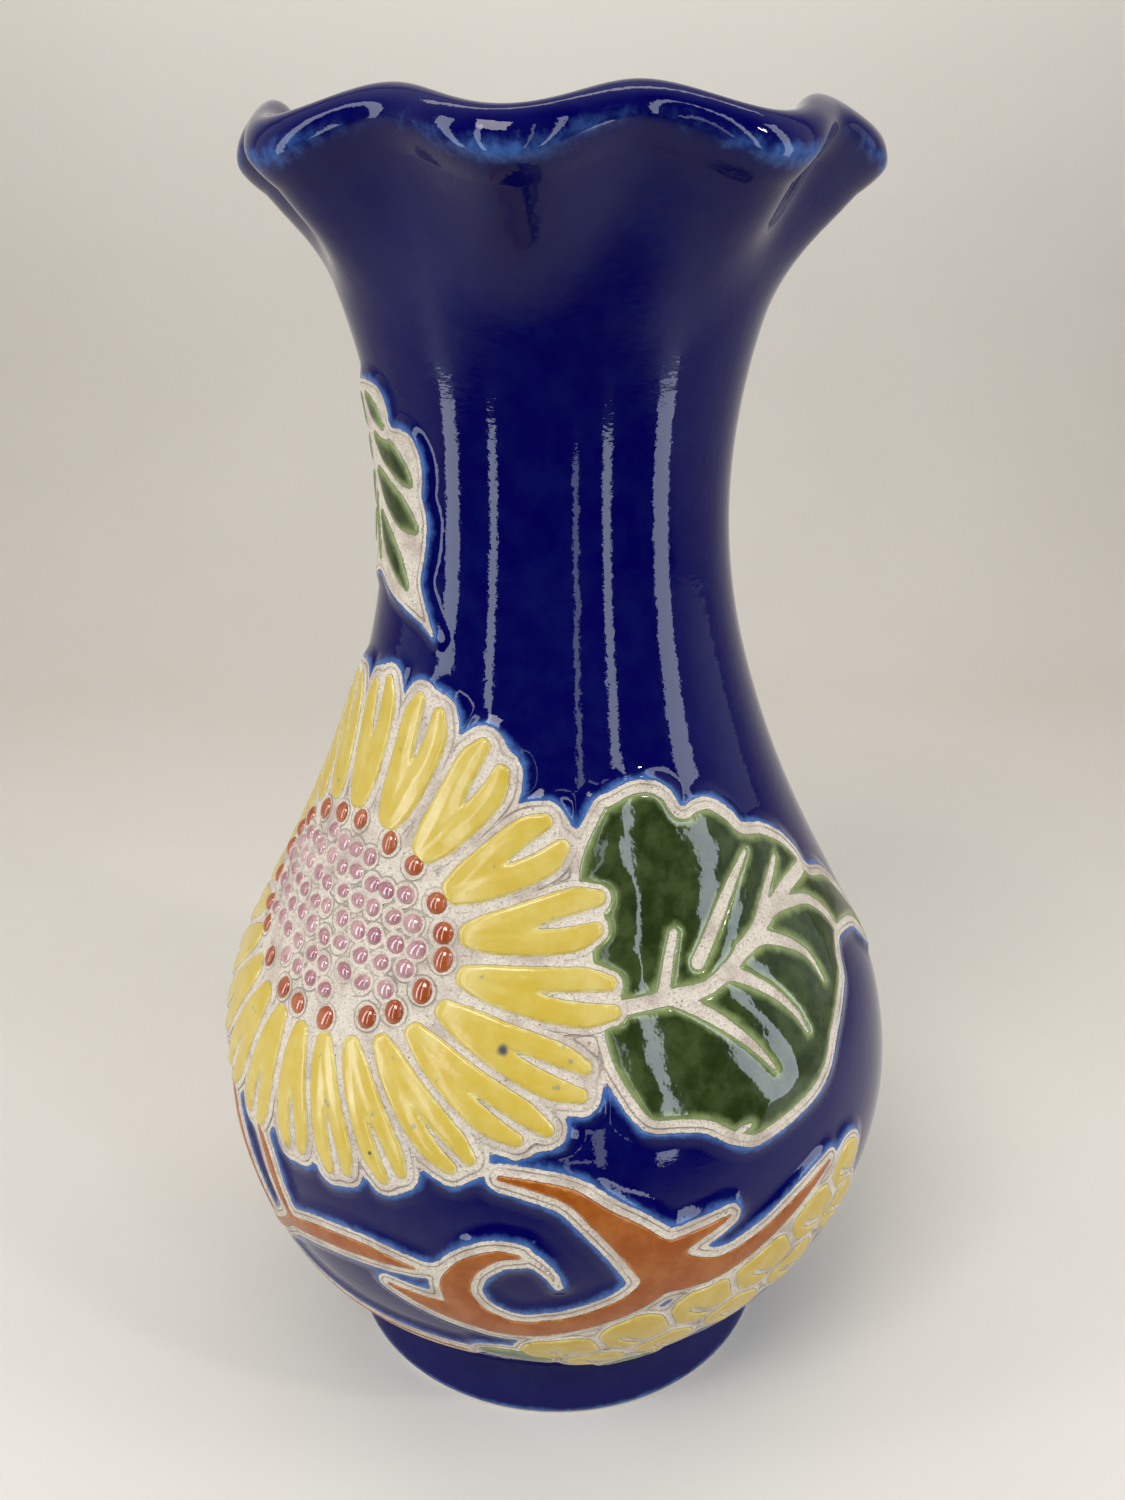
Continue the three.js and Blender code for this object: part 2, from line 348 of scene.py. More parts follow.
# %% [markdown]
# ## The sunflower
# The flower is an oval, and so are the ring where its petals root and the line that their tips
# reach. A petal is two finger strokes that merge near the root and part towards the tip, which
# leaves the slit of bare clay that the carver cut into each one. Petals crowd together below,
# where the belly is wide, and open out above, towards the neck.

# %% Petal strokes
FLOWER = np.array([-51.0, 113.0])
ROOT_OVAL = np.array([34.0, 18.9])
TIP_OVAL = np.array([61.8, 42.0])
PETALS = 23
FINGER = [  # share of the way out, then offset and half width as shares of half the spacing
    (0.04, 0.12, 0.48), (0.2, 0.20, 0.59), (0.38, 0.30, 0.53), (0.52, 0.42, 0.42),
    (0.68, 0.46, 0.37), (0.85, 0.45, 0.32), (1.0, 0.34, 0.2),
]
shake = random.Random(7)


def on_oval(oval, turn):
    return FLOWER + oval * np.array([math.sin(turn), math.cos(turn)])


def petal_turn(index):
    even = 2 * math.pi * index / PETALS - 0.06
    return even + 0.32 * math.sin(even) + 0.05 * (1 - math.cos(2 * even))


def petal_fingers(index):
    """Both finger strokes of a petal, as distance measures."""
    turn = petal_turn(index)
    apart = (petal_turn(index + 1) - petal_turn(index - 1)) / 2
    bend = shake.uniform(-0.16, 0.20)
    fingers = []
    for side in (-1, 1):
        tip = 0.955 + shake.uniform(-0.075, 0.035)
        rows = []
        for share, offset, half in FINGER:
            run = share * tip
            ring = ROOT_OVAL + (TIP_OVAL - ROOT_OVAL) * run
            lean = apart / 2 * (side * offset + bend * run ** 2)
            place = on_oval(ring, turn + lean)
            ahead, behind = on_oval(ring, turn + apart / 2), on_oval(ring, turn - apart / 2)
            pitch = np.linalg.norm(np.diff(spots_of(np.array([ahead, behind])), axis=0))
            rows.append((*place, half * pitch / 2))
        fingers.append(brush(rows))
    return fingers


petal_shapes = [petal_fingers(index) for index in range(PETALS)]
petal_glaze = [joined(fingers, fillet=0.25) for fingers in petal_shapes]
petal_plates = [joined(fingers, fillet=1.0) for fingers in petal_shapes]
print("petals:", len(petal_glaze))

# %% [markdown]
# ## Leaves, vine and fruit
# The leaf is an outline with lobes, cut into cells by its midrib and side veins. The vine is a
# few strokes that swell and taper, and each fruit a short fat stroke with a carved comma.
# What lies behind the flower follows it in reverse, as a carver repeats a motif on both sides.

# %% Leaf outline and veins
LEAF_EDGE = [
    (8, 138), (12, 139.8), (18, 141.3), (24, 140.8), (28, 138.6), (30.2, 135.6), (34, 136.3),
    (39, 135.6), (44, 132.6), (47, 129.6), (53, 128), (60, 124.2), (64.5, 119.5), (66.5, 115.6),
    (74, 112), (80, 105.5), (84, 97.5), (83, 90.5), (80.5, 92.5), (76, 98), (67, 101),
    (63.5, 99), (61.5, 96), (57, 93), (52, 89.5), (48, 85.5), (44, 83), (39, 81.5), (34, 80.4),
    (30, 79.9), (26, 81.8), (22, 85), (18, 86.2), (13, 87.3), (9.5, 92), (6, 100), (4, 115),
    (2, 128),
]
VEINS = [
    [(5, 105.5, 1.3), (12, 106.2, 1.3), (20.9, 106.6, 1.3), (27, 106.6, 1.3), (32, 108.2, 1.3),
     (38.4, 111, 1.4), (46, 113.8, 1.5), (55, 116, 1.5), (66, 116.4, 1.4)],
    [(18.8, 107.6, 1.0), (20.6, 112, 0.9), (22.6, 116, 0.8)],
    [(26.4, 110.8, 1.3), (32.1, 116, 1.2), (37.8, 120.6, 1.0), (44.6, 124.8, 0.5)],
    [(41, 112, 1.1), (47, 117, 0.9), (53.7, 121.2, 0.6)],
    [(48.6, 114, 1.2), (53.6, 113.2, 1.1), (59.5, 111.4, 1.0), (64, 107.6, 0.9), (66.5, 102.5, 1)],
    [(36.3, 110.4, 1.3), (42.1, 110.6, 1.2), (48.2, 107.8, 1.0), (52.6, 103.7, 0.6), (54, 98.5, 0.3)],
    [(31.5, 108, 1.2), (36, 105.6, 1.1), (40.8, 101.6, 0.9), (43.8, 97.4, 0.6), (45, 93.6, 0.3)],
    [(20.7, 106.2, 1.3), (24.5, 103.8, 1.2), (28.8, 100.4, 1.1), (32.9, 96, 0.8), (36, 91, 0.3)],
    [(26.5, 80.5, 0.9), (27.2, 83.4, 0.7), (29.4, 84, 0.4)],
]
leaf_edge = outlined(LEAF_EDGE)
leaf_veins = joined([brush(vein) for vein in VEINS], fillet=0.3)

# %% Vine strokes
TRUNK = [
    [(-8, 80.4, 0.5), (-3, 79.4, 1.0), (2, 77.4, 1.5), (6, 73.2, 2.2), (10.5, 68, 3.4),
     (14.5, 62, 4.4), (17.5, 58.6, 4.4), (24, 57.4, 2.9), (31, 60.4, 2.1), (37, 64.2, 1.7),
     (42, 67.2, 1.0), (45, 68.8, 0.4)],
    [(15, 64, 2.6), (19, 66.2, 1.5), (22.6, 67.6, 0.9), (25, 68.6, 0.35)],
    [(15.5, 58.5, 3.6), (11, 53, 2.7), (4, 48.8, 2.4), (-1.2, 46.9, 2.4)],
]
SCROLL = [
    [(-1.2, 46.9, 2.4), (-5, 46.2, 2.5), (-9.5, 47, 2.9), (-13, 49.6, 3.3)],
    [(-10, 47.4, 2.9), (-15.5, 48.6, 2.6), (-21, 50, 1.6), (-25.8, 51.6, 0.5)],
    [(-13.5, 50.4, 3.2), (-14.8, 56, 2.9), (-12.8, 61.6, 2.0), (-8.8, 65.2, 1.2), (-5.4, 65.6, 0.5)],
]
HOOK_CLAY = [
    [(-9, 65.2, 1.5), (-4.5, 65.4, 1.5), (-1.4, 62.4, 1.3), (0.2, 58.6, 0.8)],
    [(-24, 58.8, 1.9), (-19, 58.8, 1.9), (-14.5, 60, 2.4)],
]
ARM = [
    [(-46.2, 53.2, 1.5), (-38.5, 56.6, 2.0), (-30.5, 58.4, 1.9), (-25, 58.6, 1.2), (-21, 58.6, 0.4)],
    [(-53.5, 72, 0.7), (-50.5, 67, 1.2), (-48, 60, 1.3), (-46.2, 53.6, 1.2)],
    [(-66, 74, 0.7), (-62.5, 67, 1.2), (-58, 58, 1.3), (-55, 50, 1.1)],
    [(-46.2, 53.6, 1.2), (-52, 47.5, 1.1), (-60, 41, 1.0)],
]
ROOT_LINE = [(-62, 39, 0.8), (-46, 34.5, 0.9), (-30, 33.6, 0.8), (-16, 33.4, 0.6)]
trunk_glaze = joined([brush(stroke) for stroke in TRUNK], fillet=0.5)
scroll_glaze = joined([brush(stroke) for stroke in SCROLL], fillet=0.4)
arm_glaze = joined([brush(stroke) for stroke in ARM] + [brush(ROOT_LINE)], fillet=0.3)
hook_clay = joined([brush(stroke) for stroke in HOOK_CLAY])

# %% Garland of fruit
FRUITS = [  # azimuth, height, half width, half length, lean in degrees
    (0.5, 38.6, 4.4, 7.0, 10), (12, 43, 5.8, 6.6, 34), (22.6, 48, 5.4, 6.4, 38),
    (33, 52.4, 5.2, 6.8, 30), (42.2, 58.4, 4.8, 6.2, 40), (49.8, 64.4, 3.8, 5.2, 54),
    (6.5, 32.4, 3.6, 5.4, 4), (18, 36.2, 4.2, 5.6, 22), (29.2, 41.2, 4.4, 5.6, 26),
    (39.8, 47.2, 4.2, 5.6, 36), (49.4, 55.2, 4.0, 5.6, 48),
]
GREEN_BITS = [
    [(-12, 35.6, 1.3), (-8.5, 35.4, 2.4), (-4.6, 34.2, 2.0), (-1.8, 32.6, 1.0)],
    [(9, 27.6, 0.7), (13, 29.2, 1.1), (17, 30.2, 0.6)],
]


def fruit_stroke(azimuth, height, half_width, half_length, lean):
    core = half_length - half_width
    east, north = core * math.cos(math.radians(lean)), core * math.sin(math.radians(lean))
    return [(azimuth - east, height - north, half_width), (azimuth + east, height + north, half_width)]


def comma_stroke(azimuth, height, half_width, half_length, lean):
    tail = math.radians(lean - 20)
    reach = half_width * 0.9
    return [
        (azimuth - 0.3 * reach, height - 0.3 * reach, 0.6),
        (azimuth + 0.1 * reach, height - 0.62 * reach, 0.55),
        (azimuth + 0.8 * reach * math.cos(tail), height - 0.68 * reach, 0.42),
        (azimuth + 1.6 * reach * math.cos(tail), height - 0.4 * reach + reach * math.sin(tail), 0.25),
    ]


fruit_glaze = pressed([brush(fruit_stroke(*fruit)) for fruit in FRUITS], line=1.3)
fruit_bed = joined([brush(fruit_stroke(*fruit)) for fruit in FRUITS], fillet=0.8)
fruit_commas = joined([brush(comma_stroke(*fruit)) for fruit in FRUITS])
green_bits = joined([brush(bit) for bit in GREEN_BITS])

# %% Leaf on the neck
NECK_EDGE = [
    (-66, 206.6), (-60, 206.2), (-56.4, 204.8), (-55.2, 202), (-54.8, 199.4), (-50, 199.2),
    (-45, 198.2), (-42.4, 195), (-42.2, 191), (-43, 188), (-41.4, 184), (-42.4, 178),
    (-44, 173), (-41, 168.5), (-37, 163.6), (-42, 165.6), (-50, 167.4), (-60, 169.4),
    (-70, 172), (-82, 170), (-94, 172), (-101, 181), (-103, 191), (-96, 199.5), (-86, 202),
    (-76, 206),
]
NECK_CELLS = [
    [(-69, 203.6, 1.0), (-65, 201.4, 2.3), (-60.5, 198.6, 1.7)],
    [(-66, 196.6, 1.6), (-60, 195, 3.0), (-53.5, 192.4, 2.9), (-48.5, 190.4, 1.4)],
    [(-68, 190.2, 1.4), (-61, 187.4, 3.0), (-53, 184.2, 2.9), (-47, 182.4, 1.4)],
    [(-68, 182.4, 1.3), (-63, 178.8, 2.5), (-56.5, 175.2, 2.4), (-50.5, 171.6, 1.0)],
    [(-74, 186, 0.7), (-73, 180, 1.0), (-70, 174.6, 0.7)],
    [(-78, 203.2, 0.9), (-81, 200.4, 1.6), (-82, 197, 0.9)],
    [(-78, 195.6, 1.0), (-84, 194, 2.5), (-91, 191, 2.2), (-94, 188.4, 0.7)],
    [(-78, 189, 0.9), (-85, 186.4, 2.6), (-92, 183, 2.4), (-96, 180.4, 0.8)],
    [(-79, 182, 0.9), (-84, 178.4, 2.1), (-90, 175.6, 1.4)],
]
neck_edge = outlined(NECK_EDGE)
neck_glaze = pressed([brush(cell) for cell in NECK_CELLS], line=1.4)

# %% [markdown]
# ## The carved ground
# Under all the colours lies one raised sheet of bare clay, with the cobalt glaze rising over its
# shoulder. Its edge is a fixed distance outside the coloured cells. The sheet is a flat grid of
# places, wrapped on to the wall; where it lies further out than its shoulder reaches, it is
# deleted, and its rim dips just under the skin so that no seam shows.

# %% How far a place is from the relief
GROUND_LIFT = 0.85
SHOULDER = 3.0
GROUND_STEP = 0.62
NEEDLE_IN = 0.85           # a needle line runs this far inside the ground's edge
PETAL_BORDER = 2.15
VINE_BORDER = 2.1
FRUIT_BORDER = 1.5


def mirrored(shape):
    """The same shape on the other side of the flower."""
    return lambda places: shape(np.stack([2 * FLOWER[0] - places[:, 0], places[:, 1]], axis=1))


def widened(shape, border):
    return lambda places: shape(places) - border


flower_ground = widened(joined(petal_plates), PETAL_BORDER)
seed_oval = outlined([tuple(on_oval(ROOT_OVAL, turn)) for turn in np.linspace(0, 2 * math.pi, 17)[:-1]])
side_grounds = [
    leaf_edge, widened(trunk_glaze, VINE_BORDER), widened(fruit_bed, FRUIT_BORDER),
    widened(green_bits, FRUIT_BORDER),
]
relief = joined([
    flower_ground, seed_oval, *side_grounds, *[mirrored(shape) for shape in side_grounds],
    widened(scroll_glaze, VINE_BORDER), widened(arm_glaze, VINE_BORDER), hook_clay, neck_edge,
], fillet=0.35)


# %% Wrap a sheet of clay on to the wall
def add_numbers(piece, name, values):
    """Stores one number for each vertex, for the finish to read."""
    piece.data.attributes.new(name, "FLOAT", "POINT")
    piece.data.attributes[name].data.foreach_set("value", np.asarray(values, np.float32))


def wrapped_sheet(name, low, high, step, measure, keep, lift, cover, crease=lambda gap: gap * 0 + 9):
    """A grid of places from low to high, each with one or two distances from measure. It is
    kept where keep says and lifted off the wall in mm. Its attribute cover is how far inside
    the glaze each point is, and crease how far past a needle line, both in mm."""
    middle = (low[1] + high[1]) / 2
    per_degree = np.interp(middle, wall_heights, wall_radii) * math.pi / 180
    columns = max(4, int((high[0] - low[0]) * per_degree / step))
    rows = max(4, int((high[1] - low[1]) / step))
    bm = bmesh.new()
    bmesh.ops.create_grid(bm, x_segments=columns, y_segments=rows, size=0.5)
    scale = Matrix.Diagonal((high[0] - low[0], high[1] - low[1], 1))
    bmesh.ops.transform(bm, matrix=scale.to_4x4(), verts=bm.verts)
    centre = Vector(((low[0] + high[0]) / 2, middle, 0))
    bmesh.ops.translate(bm, vec=centre, verts=bm.verts)
    number = bm.verts.layers.int.new("number")
    for count, vert in enumerate(bm.verts):
        vert[number] = count
    places = np.array([vert.co[:2] for vert in bm.verts])
    gaps = measure(places)
    kept = keep(*gaps)
    bmesh.ops.delete(bm, geom=[v for v, stays in zip(list(bm.verts), kept) if not stays], context="VERTS")
    bmesh.ops.delete(bm, geom=[v for v in bm.verts if not v.link_faces], context="VERTS")
    order = [vert[number] for vert in bm.verts]
    bm.verts.layers.int.remove(number)
    places, gaps = places[order], [gap[order] for gap in gaps]
    piece = finish_mesh(name, bm)
    lifted = on_wall(places[:, 0], places[:, 1], lift(*gaps))
    piece.data.vertices.foreach_set("co", hand_thrown(lifted).ravel())
    add_numbers(piece, "cover", cover(*gaps))
    add_numbers(piece, "crease", crease(*gaps))
    piece.data.update()
    return piece


def shoulder_lift(gap):
    fall = 0.5 + 0.5 * np.cos(math.pi * np.clip((gap + 0.5) / (SHOULDER + 0.5), 0, 1))
    return GROUND_LIFT * fall + 0.003 - 0.06 * np.clip(gap - SHOULDER, 0, None) ** 2


ground = wrapped_sheet(
    "relief_ground", (-203, 25), (92, 210), GROUND_STEP,
    measure=lambda places: [relief(places)],
    keep=lambda gap: gap < SHOULDER + 0.7,
    lift=shoulder_lift,
    cover=lambda gap: gap,
    # Painted shade: the needle line inside the ground's edge is darkened by the clay finish.
    crease=lambda gap: gap + NEEDLE_IN,
)
print("relief_ground:", len(ground.data.polygons), "faces")

# %% [markdown]
# ## Petals
# Every petal is a small plate of clay with rounded edges, so that two neighbours meet in the
# fine line that the carver's needle leaves, painted dark as shade in the groove. The yellow glaze
# stands on it as a pillow: it rises like a quarter circle from its edge and then swells only slightly.

# %% Pillows of glaze
PLATE_BORDER = 1.25
PLATE_RISE = 0.6           # from the plate's rounded edge to its top, mm
PILLOW_RISE = 0.42
PILLOW_CROWN = 0.22
SHEET_STEP = 0.38


def rounded(depth, radius):
    """Quarter-round from 0 at the edge to 1 at a depth of radius."""
    share = np.clip(depth / radius, 0, 1)
    return np.sqrt(1 - (1 - share) ** 2)


def petal_lift(glaze, plate):
    plate_top = GROUND_LIFT - 0.45 + PLATE_RISE * rounded(PLATE_BORDER + 0.25 - plate, 0.8)
    return plate_top + PILLOW_RISE * rounded(-glaze, 0.9) + PILLOW_CROWN * ease(-glaze, 0.5, 4)


def bounds_of(shape, low, high):
    """Smallest box of places inside a shape, found on a coarse grid."""
    x, y = np.meshgrid(np.arange(low[0], high[0], 1.0), np.arange(low[1], high[1], 1.0))
    places = np.stack([x.ravel(), y.ravel()], axis=1)
    found = places[shape(places) < 2.5]
    return found.min(0) - 2, found.max(0) + 2


petals = []
for index, (glaze, plate) in enumerate(zip(petal_glaze, petal_plates)):
    low, high = bounds_of(plate, FLOWER - TIP_OVAL - 8, FLOWER + TIP_OVAL + 8)
    petals.append(wrapped_sheet(
        f"glazed_petal_{index + 1:02d}", low, high, SHEET_STEP,
        measure=lambda places, glaze=glaze, plate=plate: [glaze(places), plate(places)],
        keep=lambda glaze, plate: plate < PLATE_BORDER + 0.45,
        lift=petal_lift,
        cover=lambda glaze, plate: -glaze,
        crease=lambda glaze, plate: PLATE_BORDER - plate,
    ))
print("petals:", sum(len(petal.data.polygons) for petal in petals), "faces")

# %% [markdown]
# ## The seed head
# The middle is bare, sandy clay, pricked with rows of seeds that hold drops of mauve glaze, and
# ringed by larger orange beads. Seeds and beads are flattened balls sunk in the clay; the
# clay rises in a little collar round each one.

# %% Where the seeds and beads sit
BEADS = 21
BEAD_OVAL = np.array([30.2, 16.1])
SEED_PITCH = np.array([5.0, 3.85])
grains = random.Random(21)


def bead_places():
    places = []
    for index in range(BEADS):
        even = 2 * math.pi * index / BEADS + 0.05
        turn = even + 0.12 * math.sin(even) + grains.uniform(-0.05, 0.05)
        places.append(on_oval(BEAD_OVAL * grains.uniform(0.97, 1.03), turn))
    return np.array(places)


def seed_places():
    places = []
    for row in range(-4, 5):
        for column in range(-7, 8):
            offset = SEED_PITCH * np.array([column + 0.5 * (row % 2), row])
            if np.hypot(*(offset / (BEAD_OVAL - (4.2, 3.0)))) < 1:
                jitter = np.array([grains.uniform(-0.6, 0.6), grains.uniform(-0.45, 0.45)])
                places.append(FLOWER + offset + jitter)
    return np.array(places)


beads_at = bead_places()
seeds_at = seed_places()
print("seed head:", len(beads_at), "beads,", len(seeds_at), "seeds")


# %% Clay of the seed head
SEED_SIZE = 1.75
BEAD_SIZE = 2.0


def around(places, centres):
    """How far each place is from the nearest centre, in mm."""
    spots, middles = spots_of(places), spots_of(centres)
    return np.linalg.norm(spots[:, None] - middles[None], axis=2).min(1)


def collar(gap, size):
    """A rim pushed up round a drop, and the well that the drop sits in."""
    return 0.30 * np.exp(-((gap - size - 0.45) / 0.6) ** 2) - 0.35 * np.exp(-(gap / (0.8 * size)) ** 2)


def measure_seed_head(places):
    return [seed_oval(places), around(places, seeds_at), around(places, beads_at)]


def seed_head_lift(edge, seed, bead):
    dome = GROUND_LIFT - 0.35 + 0.5 * rounded(-edge, 1.6) + 0.35 * ease(-edge, 1, 14)
    return dome + collar(seed, SEED_SIZE) + collar(bead, BEAD_SIZE)


seed_head = wrapped_sheet(
    "seed_head_clay", FLOWER - ROOT_OVAL - 1, FLOWER + ROOT_OVAL + 1, SHEET_STEP,
    measure=measure_seed_head,
    keep=lambda edge, seed, bead: edge < 0.4,
    lift=seed_head_lift,
    cover=lambda edge, seed, bead: edge * 0 - 5,
    # Painted shade: a needle line round each seed and bead is darkened by the clay finish.
    crease=lambda edge, seed, bead: np.minimum(bead - BEAD_SIZE - 0.8, seed - SEED_SIZE - 0.75),
)


# %% Drops of glaze
def drops(name, centres, half_sizes, sink):
    """Flattened balls of glaze at the given places, in one mesh."""
    bm = bmesh.new()
    for azimuth, height in centres:
        lift = GROUND_LIFT + 0.35 - sink
        middle, above = on_wall(np.full(2, azimuth), np.full(2, height), np.array([lift, lift + 1]))
        middle, outward = Vector(middle), (Vector(above) - Vector(middle)).normalized()
        side = Vector((0, 0, 1)).cross(outward).normalized()
        up = outward.cross(side)
        spin = Matrix.Rotation(grains.uniform(-0.5, 0.5), 3, "Z")
        size = Matrix.Diagonal([half * MM * grains.uniform(0.85, 1.12) for half in half_sizes])
        frame_of = Matrix((side, up, outward)).transposed() @ spin @ size
        placed = Matrix.Translation(middle) @ frame_of.to_4x4()
        bmesh.ops.create_uvsphere(bm, u_segments=16, v_segments=10, radius=1, matrix=placed)
    piece = finish_mesh(name, bm)
    piece.data.vertices.foreach_set("co", hand_thrown(vertex_array(piece.data)).ravel())
    piece.data.update()
    return piece


beads = drops("orange_beads", beads_at, (1.95, 2.25, 1.15), sink=0.3)
seeds = drops("mauve_seeds", seeds_at, (2.1, 1.7, 1.2), sink=0.3)
print("drops:", len(beads.data.polygons) + len(seeds.data.polygons), "faces")

# %% [markdown]
# ## Cells of the leaves, vine and fruit
# These lie straight on the ground sheet: bare clay a hair above it, and the pillow of glaze.
# The leaf's green is a wide pool, the vine's orange is thin and almost flat between its raised
# borders, and the fruits are plump.

# %% Sheets with their cells
LEAF_BORDER = 2.3
CELL_STEP = 0.42


def cut_by(shape, knife):
    """What is left of a shape where a knife shape hasn't cut it."""
    return lambda places: np.maximum(shape(places), -knife(places))


def cell_sheet(name, glaze, low, high, plump, crown, edge_radius, step=CELL_STEP):
    def lift(gap):
        clay = GROUND_LIFT + 0.05 - 0.5 * ease(gap, 0.5, 1.3)
        return clay + plump * rounded(-gap, edge_radius) + crown * ease(-gap, edge_radius / 2, 5)

    return wrapped_sheet(name, low, high, step, measure=lambda places: [glaze(places)],
                         keep=lambda gap: gap < 1.4, lift=lift, cover=lambda gap: -gap)


leaf_cells = cut_by(cut_by(widened(leaf_edge, -LEAF_BORDER), leaf_veins), widened(flower_ground, -1.4))
green_right = cell_sheet("leaf_glaze_right", leaf_cells, (-4, 76), (88, 145), 0.4, 0.25, 1.6)
green_left = cell_sheet("leaf_glaze_left", mirrored(leaf_cells), (-190, 76), (-98, 145), 0.4, 0.25, 1.6)
neck_green = cell_sheet("neck_leaf_glaze", neck_glaze, (-108, 160), (-34, 210), 0.35, 0.15, 1.1, step=0.36)
trunk_right = cell_sheet("vine_glaze_right", trunk_glaze, (-12, 40), (52, 86), 0.18, 0.1, 0.9)
trunk_left = cell_sheet("vine_glaze_left", mirrored(trunk_glaze), (-154, 40), (-74, 86), 0.18, 0.1, 0.9)
vine_glaze = joined([trunk_glaze, scroll_glaze], fillet=0.4)
scroll = cell_sheet("scroll_glaze", vine_glaze, (-30, 42), (-0.95, 70), 0.18, 0.1, 0.9)
arm = cell_sheet("vine_arm_glaze", arm_glaze, (-72, 30), (-14, 78), 0.18, 0.1, 0.8)
fruit_cells = cut_by(cut_by(fruit_glaze, fruit_commas), widened(trunk_glaze, 1.5))
fruit_right = cell_sheet("fruit_glaze_right", fruit_cells, (-10, 26), (62, 76), 0.32, 0.12, 1.0)
fruit_left = cell_sheet("fruit_glaze_left", mirrored(fruit_cells), (-164, 26), (-92, 76), 0.32, 0.12, 1.0)
bits_right = cell_sheet("garland_green_right", green_bits, (-16, 26), (22, 42), 0.3, 0.1, 1.0)
bits_left = cell_sheet("garland_green_left", mirrored(green_bits), (-124, 26), (-86, 42), 0.3, 0.1, 1.0)
print("leaf:", len(green_right.data.polygons), "faces, fruit:", len(fruit_right.data.polygons), "faces")

# %% [markdown]
# ## Wiring shader nodes
# A finish is a small tree of nodes. Many finishes here share effects: sandy clay, the ripple of
# a fired surface, and glaze that thins towards its edge. Each of those is a node group, built
# once, with its own inputs. A short helper keeps the wiring readable: when it's handed another
# node's socket it links it, and when it's handed a plain value it sets it.

# %% Helper for nodes
class Wiring:
    def __init__(self, tree):
        self.tree = tree

    def add(self, kind, inputs=None, **settings):
        node = self.tree.nodes.new(kind)
        for key, value in settings.items():
            setattr(node, key, value)
        for key, value in (inputs or {}).items():
            self.feed(node.inputs[key], value)
        return node

    def feed(self, socket, value):
        if isinstance(value, bpy.types.NodeSocket):
            self.tree.links.new(value, socket)
        else:
            socket.default_value = value

    def math(self, operation, *values, clamp=False):
        node = self.add("ShaderNodeMath", operation=operation, use_clamp=clamp)
        for socket, value in zip(node.inputs, values):
            self.feed(socket, value)
        return node.outputs[0]

    def mix(self, share, first, second):
        node = self.add("ShaderNodeMix", data_type="RGBA", inputs={0: share, 6: first, 7: second})
        return node.outputs[2]

    def blend(self, share, first, second):
        return self.add("ShaderNodeMix", inputs={0: share, 2: first, 3: second}).outputs[0]

    def between(self, value, low, high, first=0.0, second=1.0):
        """Eases from first to second while value goes from low to high."""
        node = self.add("ShaderNodeMapRange", interpolation_type="SMOOTHSTEP")
        for socket, item in zip(node.inputs, (value, low, high, first, second)):
            self.feed(socket, item)
        return node.outputs[0]

    def place(self, x=1.0, y=1.0, z=1.0):
        """Object coordinates, stretched along each axis."""
        source = self.add("ShaderNodeTexCoord").outputs["Object"]
        return self.add("ShaderNodeMapping", {"Vector": source, "Scale": (x, y, z)}).outputs[0]

    def noise(self, scale, detail=2.0, rough=0.5, place=None):
        inputs = {"Vector": place or self.place(), "Scale": scale, "Detail": detail, "Roughness": rough}
        return self.add("ShaderNodeTexNoise", inputs).outputs["Fac"]

    def grains(self, scale, feature="F1"):
        return self.add("ShaderNodeTexVoronoi", {"Vector": self.place(), "Scale": scale}, feature=feature)

    def group(self, tree, **inputs):
        named = {key.replace("_", " "): value for key, value in inputs.items()}
        return self.add("ShaderNodeGroup", named, node_tree=tree).outputs


def new_group(name, inputs, outputs):
    tree = bpy.data.node_groups.new(name, "ShaderNodeTree")
    for label, value in inputs.items():
        kind = "NodeSocketColor" if isinstance(value, tuple) else "NodeSocketFloat"
        tree.interface.new_socket(label, in_out="INPUT", socket_type=kind).default_value = value
    for label in outputs:
        kind = "NodeSocketColor" if label == "Colour" else "NodeSocketFloat"
        tree.interface.new_socket(label, in_out="OUTPUT", socket_type=kind)
    wires = Wiring(tree)
    return tree, wires, wires.add("NodeGroupInput").outputs, wires.add("NodeGroupOutput").inputs


def rgb(red, green, blue):
    """A colour as a maker would pick it on a screen, turned into the light that it stands for."""
    return (*[(channel / 255) ** 2.2 for channel in (red, green, blue)], 1.0)


# %% [markdown]
# ## What the kiln leaves
# Fired glaze isn't a flat mirror. It has a faint orange peel, and on a thrown pot it also keeps
# the rings that the fingers left, which cut each long reflection into steps. Both are heights in
# mm, too small to model.

# %% Kiln ripple
ripple_group, wires, given, result = new_group("Kiln ripple", {"Peel": 1.0, "Rings": 1.0}, ["Height"])
peel = wires.math("SUBTRACT", wires.noise(420, 2.0), 0.5)
rings = wires.math("SUBTRACT", wires.noise(1.0, 3.0, 0.6, wires.place(260, 260, 520)), 0.5)
waves = wires.math("SUBTRACT", wires.noise(60, 1.0), 0.5)
height = wires.math("MULTIPLY", wires.math("MULTIPLY", peel, given["Peel"]), 0.014)
height = wires.math("MULTIPLY_ADD", wires.math("MULTIPLY", rings, given["Rings"]), 0.020, height)
height = wires.math("MULTIPLY_ADD", waves, 0.10, height)
wires.feed(result["Height"], height)
print("group:", ripple_group.name)
